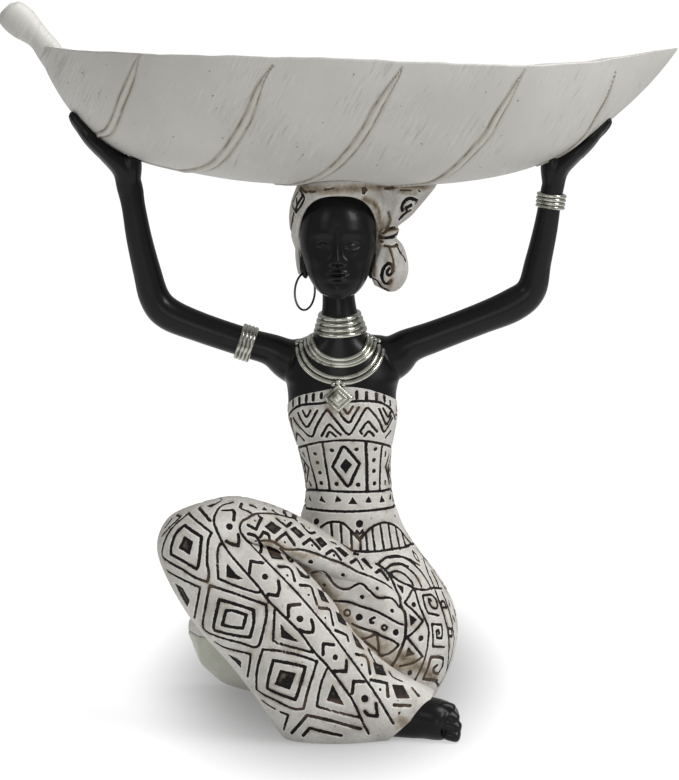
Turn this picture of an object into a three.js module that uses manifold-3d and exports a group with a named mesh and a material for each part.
// A cast resin figurine: a seated woman holds a leaf-shaped bowl up with both hands and her wrapped head.
// Three separate pieces: the figure, cast in one with her dress and jewellery, the leaf bowl glued on her
// hands and head wrap, and a wire hoop through her right ear lobe.
// Millimetres, +Z up. She faces -Y. The origin is on the flat underside, below her neck.
import * as THREE from "three";
import { mergeVertices } from "three/addons/utils/BufferGeometryUtils.js";
import Module from "manifold-3d";

const wasm = await Module();
wasm.setup();

// Driving dimensions
const glueGap = 0.3; // between the bowl and what carries it
const bowlWall = 3.2;
const hollowEnds = [-118.5, 130.5];
const bowlFlare = THREE.MathUtils.degToRad(72); // how far the bowl's section turns up at its rim
const veinRise = 0.8;
const veinHalf = 1.5;
const earHoleRadius = 1;
const hoopRadius = 7.6;
const hoopWire = 0.45;
const hoop = { x: -14.5, y: 1.6, z: 178.2 };
const hoopTurn = THREE.MathUtils.degToRad(58); // the hoop is seen nearly edge on from the front

// Each row is one level of the torso and lap: height, left, right, front, back.
const torsoLevels = [
  [-2, -30, 35, -12, 42],
  [8, -36, 40.3, -18, 46],
  [20, -39, 46.1, -21, 47],
  [30, -40, 49, -22, 46],
  [39, -40, 49.6, -22, 44],
  [48, -38, 47, -20.5, 41],
  [57, -34, 41.8, -17.5, 37],
  [68, -26, 33.6, -12, 31],
  [78, -18.5, 27, -8, 26.5],
  [90, -14.2, 22.6, -5.5, 22.5],
  [100, -14.4, 21.3, -5, 21],
  [112, -16.9, 21.4, -7.5, 20.5],
  [119, -19, 22.5, -10.5, 20.5],
  [126, -21, 23.7, -12.5, 20.5],
  [135, -20.8, 23, -11.5, 20.5],
  [143, -20.8, 22.4, -9.5, 20],
  [150, -20, 20.5, -8.3, 19],
  [155, -17.5, 17.8, -7.5, 17],
  [159, -12.5, 12.8, -7, 13.5],
  [163, -9.6, 9.9, -6.4, 11.5],
  [170, -7.4, 7.7, -4.8, 9.8],
  [178, -7, 6.6, -4, 10],
  [188, -7, 6.6, -4, 10],
];
// The near leg under the skirt, as spokes from its inner edge round to its outer edge, from the hem by the
// foot, up the shin, over the knee and back along the thigh:
// inner x, inner z, outer x, outer z, middle y, front bulge, back bulge.
const nearLegSpokes = [
  [38.4, 17.6, 14, -5, -27, 13, 13],
  [28.3, 22.8, -5.5, -6.5, -28, 17, 15],
  [16.1, 31.4, -21.2, -2, -28.5, 18, 16],
  [5.1, 43.5, -32.6, 14.4, -29.5, 18, 17],
  [-3.4, 55.9, -44.2, 30, -30, 18, 18],
  [-12.4, 65.9, -58, 46, -29.5, 18.5, 18],
  [-21.3, 74.1, -68.5, 63, -28.5, 18.5, 18],
  [-28.1, 78.2, -73.6, 77.4, -27.5, 18.5, 18],
  [-31, 79.4, -69.6, 88.4, -26.5, 18.5, 18],
  [-31.5, 79.2, -58.3, 94.6, -25, 18, 18],
  [-28, 77, -44.1, 96.6, -23, 17, 18],
  [-22, 73, -31.7, 93.8, -20, 15, 18],
  [-12, 67, -18.3, 88.7, -16, 12.5, 16],
  [1, 60.5, -1.9, 77, -12, 10.5, 16],
  [15, 54, 13.6, 64.8, -9, 9, 14],
  [24, 49, 23.3, 54.4, -5, 6, 10],
];
// The far knee, low on the ground behind: x, y, z, half across, half deep.
const farKneePath = [
  [-8, 26, 23, 24, 18],
  [-32, 32, 25.6, 24, 18],
  [-48, 37, 28, 22.5, 17],
  [-58, 39, 28.4, 16.5, 13],
  [-65, 40, 28.6, 3.4, 3],
];
// The cloth of the lap between the two knees, behind the near thigh.
const lapPath = [
  [22, 14, 40, 24, 22],
  [0, 4, 47, 24, 20],
  [-18, -7, 60, 19, 15],
  [-34, -18, 70, 12, 10],
];
const footPath = [
  [20, -27, 11.5, 9, 8.5],
  [30, -31, 10.5, 8.8, 9],
  [37.5, -34, 9, 8.4, 9.4],
  [43.5, -36, 7.4, 7.2, 9.6],
  [47, -37, 6, 3.8, 7.4],
];
const toeRoot = { x: 43.4, y: -43, z: 4.4 };
const toePitch = 3.4;
// Arms from inside the chest to the palms, which lie along the underside of the bowl.
const leftArmPath = [
  [-8, 9, 146, 14, 9.5],
  [-20.5, 9, 149.6, 9, 8.6],
  [-28.5, 8.6, 153.8, 6.5, 7],
  [-40, 8, 157.6, 6, 6.2],
  [-58, 8, 163.6, 6.1, 6.1],
  [-71, 8, 168, 6.4, 6],
  [-77, 7.6, 174, 5.8, 5.8],
  [-79.6, 6, 186, 5.1, 5.3],
  [-82, 4, 200, 4.6, 5],
  [-84.2, 2, 213, 4.4, 4.8],
  [-85.4, 1.2, 221, 4.7, 5.2],
  [-88.6, 0.8, 228.2, 5.3, 6.6],
  [-95.5, 0, 234.8, 4.6, 8.2],
  [-101.5, 0, 240.2, 3.4, 8.4],
];
const rightArmPath = [
  [8, 9, 146.5, 14, 9.5],
  [21.5, 9, 150.8, 9, 8.6],
  [29, 8.8, 155.2, 6.9, 7],
  [40, 8.4, 159, 6.6, 6.3],
  [58, 8, 166, 6.3, 6.1],
  [72, 8, 171.6, 6.6, 6],
  [79.4, 7.6, 177.6, 6, 5.8],
  [82.4, 6, 190, 5.2, 5.3],
  [84.6, 4, 203, 4.9, 5],
  [86, 2, 214, 4.6, 4.8],
  [87, 1.2, 221, 4.6, 5.2],
  [89.6, 0.8, 227.6, 5, 6.6],
  [95.6, 0, 233.8, 4.7, 8.2],
  [102, 0, 239.4, 3.6, 8.4],
];
const leftFingertip = { x: -109.4, z: 250.8 };
const rightFingertip = { x: 110.2, z: 248.4 };
const fingerRadius = 2.1;
const fingerPitch = 4.1;
// Head and face levels: height, left, right, front, back.
const headLevels = [
  [176.6, -3, 2.2, -14.6, -9],
  [178.6, -7.2, 5.8, -16.2, -2],
  [183.8, -11.6, 10, -16.6, 6],
  [190, -13.8, 12.2, -16.4, 11],
  [197, -14.9, 13.3, -16.2, 13.5],
  [204, -15, 13.4, -16.2, 14.5],
  [211, -13.4, 11.6, -14.8, 14],
  [215.6, -9.8, 8, -12, 12],
  [218.4, -4.6, 3, -7.5, 8],
];
const wrapLevels = [
  [186.5, -12.5, 10.5, 5, 15.5],
  [190, -16.4, 13, 0.5, 18.5],
  [199, -20, 17, -7, 21.5],
  [208, -21.2, 18.6, -12, 22.5],
  [214.5, -20.4, 18.8, -15.4, 22],
  [219.6, -18.4, 18, -16.4, 20.5],
  [226, -15.5, 20, -15.5, 18],
];
const faceWindow = { x: -0.8, z: 197.4, halfWide: 15.2, halfHigh: 21.2, back: -0.5 };
// The gathered cloth beside the head, from under the bowl to the knot, and the tail below it.
const gatherPath = [
  [26, 6, 231, 17, 9],
  [25.4, 5.6, 222.5, 14.5, 8.4],
  [24.2, 5, 213.5, 8.6, 7],
  [21.2, 4.4, 206, 4.2, 5],
  [19.6, 4, 200.8, 3.6, 4],
];
const tailPath = [
  [19.2, 4, 199.5, 3.8, 4],
  [20.4, 4, 194.5, 6.6, 6],
  [20.9, 3.6, 187.5, 7.9, 7],
  [20.4, 3.2, 181.8, 6, 5.6],
  [19.4, 3, 178.6, 1.6, 1.6],
];
// The leaf bowl, from its stem to its tip: x, keel height, rim height, half width.
const bowlStations = [
  [-121.5, 276, 279.6, 2.6],
  [-116.5, 263.5, 278.6, 7],
  [-109, 251.8, 276.6, 15],
  [-98, 241, 275.8, 24],
  [-85, 233.6, 275.2, 33.5],
  [-66, 228.2, 274.4, 43.5],
  [-40, 223.6, 273.8, 51],
  [-10, 221.8, 273.2, 54],
  [22, 221.6, 272, 53.5],
  [50, 223.2, 270.8, 49],
  [75, 228.1, 270.4, 41],
  [96, 237.2, 271.4, 29.5],
  [112, 249.8, 273.4, 19],
  [124, 261, 275.4, 10.5],
  [132, 270.2, 276.6, 4.6],
  [136.6, 276.4, 277.2, 0.6],
];
const stemPath = [
  [-134.3, 0, 292.8, 2.4, 2],
  [-132.6, 0, 290.9, 6, 5],
  [-128.6, 0, 287.4, 6.6, 5.4],
  [-123.4, 0, 281.6, 4.7, 4.4],
  [-118.4, 0, 274.6, 4.4, 4.2],
  [-112.5, 0, 266, 4.2, 4.5],
];
// The side veins leave the keel at these places and run this far towards the tip as they climb.
const veinStarts = [-104, -71, -24, 24, 76];
const veinRuns = [20, 44, 46, 46, 33];
const veinFoot = 0.08; // a vein begins this far up the side
const veinTop = 0.94; // and ends this far up

// The other columns of a table at x, smoothed along its first column.
function along(rows, x) {
  let i = 0;
  while (i < rows.length - 2 && x > rows[i + 1][0]) i += 1;
  const a = rows[i];
  const b = rows[i + 1];
  const before = rows[i - 1] ?? a;
  const after = rows[i + 2] ?? b;
  const span = b[0] - a[0];
  const s = (x - a[0]) / span;
  return a.map((value, k) => {
    const leave = ((b[k] - before[k]) / (b[0] - before[0])) * span;
    const arrive = ((after[k] - a[k]) / (after[0] - a[0])) * span;
    const blend = s * s * (3 - 2 * s);
    return value + (b[k] - value) * blend + (leave * (1 - s) - arrive * s) * s * (1 - s);
  });
}

// A table whose rows are evenly spaced stations gets a station number in front.
function numbered(rows) {
  return rows.map((row, i) => [i, ...row]);
}

function solidFrom(geometry) {
  geometry.deleteAttribute("normal");
  geometry.deleteAttribute("uv");
  const merged = mergeVertices(geometry, 1e-4);
  const solid = new wasm.Manifold(
    new wasm.Mesh({
      numProp: 3,
      vertProperties: merged.attributes.position.array,
      triVerts: new Uint32Array(merged.index.array),
    }),
  );
  return solid;
}

// A closed solid through rings of points, with a flat fan at each end.
function loftSolid(rings) {
  const count = rings[0].length;
  const points = rings.flat();
  const middle = (ring) => ring.reduce((sum, p) => sum.add(p), new THREE.Vector3()).divideScalar(count);
  const first = points.push(middle(rings[0])) - 1;
  const last = points.push(middle(rings[rings.length - 1])) - 1;
  const faces = [];
  const end = (rings.length - 1) * count;
  for (let j = 0; j < count; j += 1) {
    const k = (j + 1) % count;
    for (let i = 0; i < rings.length - 1; i += 1) {
      const a = i * count;
      faces.push([a + j, a + k, a + count + k], [a + j, a + count + k, a + count + j]);
    }
    faces.push([first, k, j], [last, end + j, end + k]);
  }
  const volume = faces.reduce((sum, [a, b, c]) => sum + points[a].dot(points[b].clone().cross(points[c])), 0);
  const index = faces.flatMap((face) => (volume < 0 ? [face[0], face[2], face[1]] : face));
  const geometry = new THREE.BufferGeometry().setFromPoints(points);
  geometry.setIndex(index);
  return solidFrom(geometry);
}

function ellipsePoint(angle, fullness = 1) {
  const c = Math.cos(angle);
  const s = Math.sin(angle);
  return [Math.sign(c) * Math.abs(c) ** fullness, Math.sign(s) * Math.abs(s) ** fullness];
}

function turn(j, sides) {
  return (j / sides) * 2 * Math.PI;
}

function levelPoint([z, left, right, front, back], angle) {
  const [c, s] = ellipsePoint(angle);
  return new THREE.Vector3(
    (left + right) / 2 + ((right - left) / 2) * c,
    (front + back) / 2 + ((back - front) / 2) * s,
    z,
  );
}

function levelSolid(levels, steps, sides) {
  const low = levels[0][0];
  const high = levels[levels.length - 1][0];
  const rings = [];
  for (let i = 0; i <= steps; i += 1) {
    const level = along(levels, low + ((high - low) * i) / steps);
    rings.push(Array.from({ length: sides }, (_, j) => levelPoint(level, turn(j, sides))));
  }
  return loftSolid(rings);
}

// A limb along a path of x, y, z, half across, half deep. Deep is as near to +Y as the path lets it be.
function limbSolid(path, steps, sides) {
  const rows = numbered(path);
  const at = (t) => along(rows, t).slice(1);
  const top = path.length - 1;
  const rings = [];
  for (let i = 0; i <= steps; i += 1) {
    const t = (top * i) / steps;
    const [x, y, z, across, deep] = at(t);
    const ahead = new THREE.Vector3(...at(Math.min(t + 0.05, top)));
    const behind = new THREE.Vector3(...at(Math.max(t - 0.05, 0)));
    const tangent = ahead.sub(behind).normalize();
    const deepDir = new THREE.Vector3(0, 1, 0).addScaledVector(tangent, -tangent.y).normalize();
    const acrossDir = tangent.clone().cross(deepDir);
    rings.push(
      Array.from({ length: sides }, (_, j) => {
        const [c, s] = ellipsePoint(turn(j, sides));
        return new THREE.Vector3(x, y, z).addScaledVector(acrossDir, across * c).addScaledVector(deepDir, deep * s);
      }),
    );
  }
  return loftSolid(rings);
}

function nearLegSolid(steps, sides) {
  const rows = numbered(nearLegSpokes);
  const rings = [];
  for (let i = 0; i <= steps; i += 1) {
    const u = ((rows.length - 1) * i) / steps;
    const [, inX, inZ, outX, outZ, y, front, back] = along(rows, u);
    rings.push(
      Array.from({ length: sides }, (_, j) => {
        const [c, s] = ellipsePoint(turn(j, sides), 0.86);
        return new THREE.Vector3(
          (inX + outX) / 2 + ((outX - inX) / 2) * c,
          y - s * (s > 0 ? front : back),
          (inZ + outZ) / 2 + ((outZ - inZ) / 2) * c,
        );
      }),
    );
  }
  return loftSolid(rings);
}

function ballSolid(x, y, z, halfX, halfY, halfZ, sides = 10) {
  return solidFrom(new THREE.SphereGeometry(1, sides, Math.round(sides * 0.7)).scale(halfX, halfY, halfZ)).translate([x, y, z]);
}

// A sleeve with rounded ribs round the axis from a to b: its radius goes from startRadius to endRadius.
function ribbedSleeve(a, b, startRadius, endRadius, ribs, ribDepth, sides = 14) {
  const length = a.distanceTo(b);
  const profile = [new THREE.Vector2(0, 0)];
  for (let i = 0; i <= ribs * 2; i += 1) {
    const s = i / (ribs * 2);
    const radius = startRadius + (endRadius - startRadius) * s;
    profile.push(new THREE.Vector2(radius - (i % 2 === 0 ? ribDepth : 0), length * s));
  }
  profile.push(new THREE.Vector2(0, length));
  const axis = b.clone().sub(a).normalize();
  const geometry = new THREE.LatheGeometry(profile, sides);
  geometry.applyQuaternion(new THREE.Quaternion().setFromUnitVectors(new THREE.Vector3(0, 1, 0), axis));
  geometry.translate(a.x, a.y, a.z);
  return solidFrom(geometry);
}

// A round cord closed on itself along the given points.
function ringCord(points, radius, sides) {
  const count = points.length;
  const middle = points.reduce((sum, p) => sum.add(p), new THREE.Vector3()).divideScalar(count);
  const around = points.map((point, i) => {
    const tangent = points[(i + 1) % count].clone().sub(points[(i + count - 1) % count]).normalize();
    const out = point.clone().sub(middle);
    out.addScaledVector(tangent, -out.dot(tangent)).normalize();
    const side = tangent.clone().cross(out);
    return Array.from({ length: sides }, (_, j) =>
      point
        .clone()
        .addScaledVector(out, radius * Math.cos(turn(j, sides)))
        .addScaledVector(side, radius * Math.sin(turn(j, sides))),
    );
  });
  const index = [];
  for (let i = 0; i < count; i += 1) {
    const a = i * sides;
    const b = ((i + 1) % count) * sides;
    for (let j = 0; j < sides; j += 1) {
      const k = (j + 1) % sides;
      index.push(a + j, a + k, b + k, a + j, b + k, b + j);
    }
  }
  const geometry = new THREE.BufferGeometry().setFromPoints(around.flat());
  geometry.setIndex(index);
  const cord = solidFrom(geometry);
  return cord.volume() < 0 ? ringCord(points.slice().reverse(), radius, sides) : cord;
}

// A necklace ring lies on the chest: high at the nape and over the shoulders, lowest in front.
function necklaceRing(sideHeight, frontHeight, wire) {
  const count = 14;
  const points = Array.from({ length: count }, (_, j) => {
    const angle = turn(j, count);
    const ahead = Math.max(0, -Math.sin(angle));
    const z = sideHeight - (sideHeight - frontHeight) * ahead ** 1.6 + 1.5 * Math.max(0, Math.sin(angle));
    return levelPoint(along(torsoLevels, z), angle);
  });
  return ringCord(points, wire, 4);
}

function bowlSide(x, side, inset) {
  const [, keel, rim, half] = along(bowlStations, x);
  const angle = bowlFlare * Math.abs(side);
  const across = Math.max(half - inset, 0.2) * (Math.sin(angle) / Math.sin(bowlFlare));
  const up = (1 - Math.cos(angle)) / (1 - Math.cos(bowlFlare));
  const low = Math.min(keel + inset, rim - 0.2);
  return new THREE.Vector3(x, Math.sign(side) * across, low + (rim - low) * up);
}

// The outside or the hollow of the bowl as a solid that is closed flat across its rim.
function bowlForm(inset, from, to, rimLift) {
  const stations = 17;
  const sides = 5;
  const rings = [];
  for (let i = 0; i <= stations; i += 1) {
    const x = from + ((to - from) * i) / stations;
    const ring = [];
    for (let j = -sides; j <= sides; j += 1) ring.push(bowlSide(x, j / sides, inset));
    ring.push(bowlSide(x, 1, inset).add(new THREE.Vector3(0, 0, rimLift)));
    ring.push(bowlSide(x, -1, inset).add(new THREE.Vector3(0, 0, rimLift)));
    rings.push(ring);
  }
  return loftSolid(rings);
}

// A vein is a low three-sided ridge on the outside of the bowl that fades at both ends.
function veinSolid(start, run, side, rise) {
  const steps = 5;
  const rings = [];
  for (let i = 0; i <= steps; i += 1) {
    const s = i / steps;
    const x = start + run * s ** 0.8;
    const up = side * (veinFoot + (veinTop - veinFoot) * s ** 1.1);
    const out = rise * Math.sin(Math.PI * (0.1 + 0.8 * s));
    rings.push([bowlSide(x - veinHalf, up, 1), bowlSide(x, up, -out), bowlSide(x + veinHalf, up, 1)]);
  }
  return loftSolid(rings);
}

function bowlSolid() {
  const first = bowlStations[0][0];
  const last = bowlStations[bowlStations.length - 1][0];
  let bowl = bowlForm(0, first, last, 0.01).add(limbSolid(stemPath, 10, 8));
  for (let i = 0; i < veinStarts.length; i += 1) {
    for (const side of [-1, 1]) bowl = bowl.add(veinSolid(veinStarts[i], veinRuns[i], side, veinRise));
  }
  return bowl.subtract(bowlForm(bowlWall, hollowEnds[0], hollowEnds[1], 12));
}

// Fingers lie side by side along the underside of the bowl, the outer ones a little higher up its side.
function handSolid(path, tip) {
  const palm = { x: path[path.length - 1][0], z: path[path.length - 1][2] };
  const heel = { x: path[path.length - 3][0], z: path[path.length - 3][2] };
  const outward = Math.sign(palm.x);
  let hand = null;
  for (let i = 0; i < 4; i += 1) {
    const y = (i - 1.5) * fingerPitch;
    const lift = 0.05 * y * y;
    const reach = 1 - 0.09 * Math.abs(i - 1.3);
    const at = (s) => [palm.x + (tip.x - palm.x) * s * reach, y * (0.94 + 0.14 * s)];
    const up = (s) => palm.z + (tip.z - palm.z) * s ** 1.25 * reach + lift;
    const finger = [
      [palm.x - outward * 5, y * 0.9, palm.z - 4.4, fingerRadius, fingerRadius],
      [...at(0), up(0), fingerRadius, fingerRadius],
      [...at(0.55), up(0.55), fingerRadius * 0.95, fingerRadius * 0.95],
      [...at(1), up(1), fingerRadius * 0.55, fingerRadius * 0.6],
    ];
    const next = limbSolid(finger, 3, 6);
    hand = hand ? hand.add(next) : next;
  }
  const thumb = [
    [heel.x, 5, heel.z - 0.5, 2.6, 2.6],
    [heel.x + outward * 2.4, 10.4, heel.z + 4.2, 2.3, 2.3],
    [heel.x + outward * 5.6, 14, heel.z + 8.6, 1.4, 1.4],
  ];
  return hand.add(limbSolid(thumb, 3, 6));
}

function footSolid() {
  let foot = limbSolid(footPath, 6, 8);
  for (let i = 0; i < 5; i += 1) {
    const size = i === 0 ? 2.8 : 2.2 - 0.12 * i;
    foot = foot.add(
      ballSolid(toeRoot.x + 2.6 - 0.5 * Math.abs(i - 1.5), toeRoot.y + toePitch * i, toeRoot.z + 0.4, size * 1.6, size, size * 1.1, 6),
    );
  }
  return foot;
}

function headSolid() {
  let head = levelSolid(headLevels, 9, 12);
  const nose = [
    [-0.8, -14.8, 201.5, 1.1, 1.3],
    [-0.8, -16.6, 196.5, 1.5, 1.7],
    [-0.8, -18, 192.6, 2.4, 2],
    [-0.8, -16, 190.6, 1.6, 1.2],
  ];
  head = head.add(limbSolid(nose, 4, 6));
  head = head.add(ballSolid(-0.8, -16.2, 186.6, 4, 1.6, 0.95, 7));
  head = head.add(ballSolid(-0.8, -16.1, 184.9, 3.4, 1.7, 1.1, 7));
  for (const side of [-1, 1]) {
    head = head.add(ballSolid(-0.8 + side * 6.2, -14.4, 197.4, 3, 1.5, 1.5, 7));
    head = head.add(ballSolid(-0.9 + side * 13.7, 1.6, 189.2, 1.8, 2.6, 5.2, 7));
  }
  return head;
}

function wrapSolid() {
  const window = solidFrom(
    new THREE.CylinderGeometry(1, 1, 60, 16).scale(faceWindow.halfWide, 1, faceWindow.halfHigh),
  ).translate([faceWindow.x, faceWindow.back - 30, faceWindow.z]);
  let wrap = levelSolid(wrapLevels, 7, 16).subtract(window);
  wrap = wrap.add(limbSolid(gatherPath, 6, 10));
  wrap = wrap.add(limbSolid(tailPath, 6, 8));
  const knotLow = new THREE.Vector3(19.4, 4, 196.6);
  const knotHigh = new THREE.Vector3(20, 4, 204);
  return wrap.add(ribbedSleeve(knotLow, knotHigh, 4.6, 4.8, 2, 1, 10));
}

function jewellerySolids() {
  const choker = ribbedSleeve(new THREE.Vector3(0.2, 2.2, 160.6), new THREE.Vector3(0, 2.6, 170.4), 10.8, 9, 4, 0.9, 12);
  const armband = ribbedSleeve(new THREE.Vector3(-37.4, 8, 156.7), new THREE.Vector3(-43.8, 8, 158.9), 7.3, 7.3, 4, 0.8, 10);
  const wristband = ribbedSleeve(new THREE.Vector3(85.9, 2.1, 212.4), new THREE.Vector3(86.8, 1.8, 218.6), 6, 6, 3, 0.8, 10);
  const rings = [
    necklaceRing(156.8, 150.6, 1.5),
    necklaceRing(155, 143.4, 1.6),
  ];
  const plate = new THREE.BoxGeometry(8.2, 2.6, 8.2).rotateY(Math.PI / 4).scale(1.08, 1, 0.92);
  const stone = new THREE.BoxGeometry(4.8, 4, 4.8).rotateY(Math.PI / 4).scale(1.08, 1, 0.92);
  const pendant = solidFrom(plate).add(solidFrom(stone)).rotate([-8, 0, 0]).translate([-0.5, -12.4, 135.9]);
  return [choker, armband, wristband, pendant, ...rings];
}

function figureSolid() {
  let figure = levelSolid(torsoLevels, 20, 16);
  figure = figure.add(nearLegSolid(22, 14));
  figure = figure.add(limbSolid(lapPath, 5, 12));
  figure = figure.add(limbSolid(farKneePath, 8, 14));
  figure = figure.add(footSolid());
  for (const path of [leftArmPath, rightArmPath]) figure = figure.add(limbSolid(path, 16, 8));
  figure = figure.add(handSolid(leftArmPath, leftFingertip)).add(handSolid(rightArmPath, rightFingertip));
  figure = figure.add(headSolid()).add(wrapSolid());
  for (const piece of jewellerySolids()) figure = figure.add(piece);
  const first = bowlStations[0][0];
  const last = bowlStations[bowlStations.length - 1][0];
  figure = figure.subtract(bowlForm(-glueGap, first, last, 40).translate([0, 0, -glueGap]));
  for (let i = 0; i < veinStarts.length; i += 1) {
    for (const side of [-1, 1]) {
      figure = figure.subtract(veinSolid(veinStarts[i], veinRuns[i], side, veinRise + glueGap));
    }
  }
  const lobeHole = solidFrom(
    new THREE.CylinderGeometry(earHoleRadius, earHoleRadius, 7, 8).rotateZ(Math.PI / 2).rotateZ(hoopTurn),
  ).translate([hoop.x, hoop.y, hoop.z + hoopRadius - 0.15]);
  figure = figure.subtract(lobeHole);
  const ground = solidFrom(new THREE.BoxGeometry(400, 400, 100)).translate([0, 0, -50]);
  return figure.subtract(ground);
}

function hoopSolid() {
  const count = 20;
  const points = Array.from({ length: count }, (_, j) => {
    const angle = turn(j, count);
    const out = hoopRadius * Math.cos(angle);
    return new THREE.Vector3(out * Math.cos(hoopTurn), out * Math.sin(hoopTurn), hoopRadius * Math.sin(angle));
  });
  return ringCord(points, hoopWire, 5).translate([hoop.x, hoop.y, hoop.z]);
}

function meshOf(name, solid, color, roughness, metalness) {
  const { vertProperties, triVerts } = solid.getMesh();
  const geometry = new THREE.BufferGeometry();
  geometry.setAttribute("position", new THREE.BufferAttribute(vertProperties, 3));
  geometry.setIndex(new THREE.BufferAttribute(triVerts, 1));
  const mesh = new THREE.Mesh(geometry, new THREE.MeshStandardMaterial({ color, roughness, metalness }));
  mesh.name = name;
  return mesh;
}

const figurine = new THREE.Group();
figurine.add(meshOf("figure", figureSolid(), 0x1b1b1d, 0.35, 0));
figurine.add(meshOf("leaf_bowl", bowlSolid(), 0xcfccc4, 0.55, 0));
figurine.add(meshOf("hoop_earring", hoopSolid(), 0x3a3a3c, 0.3, 1));

export default figurine;
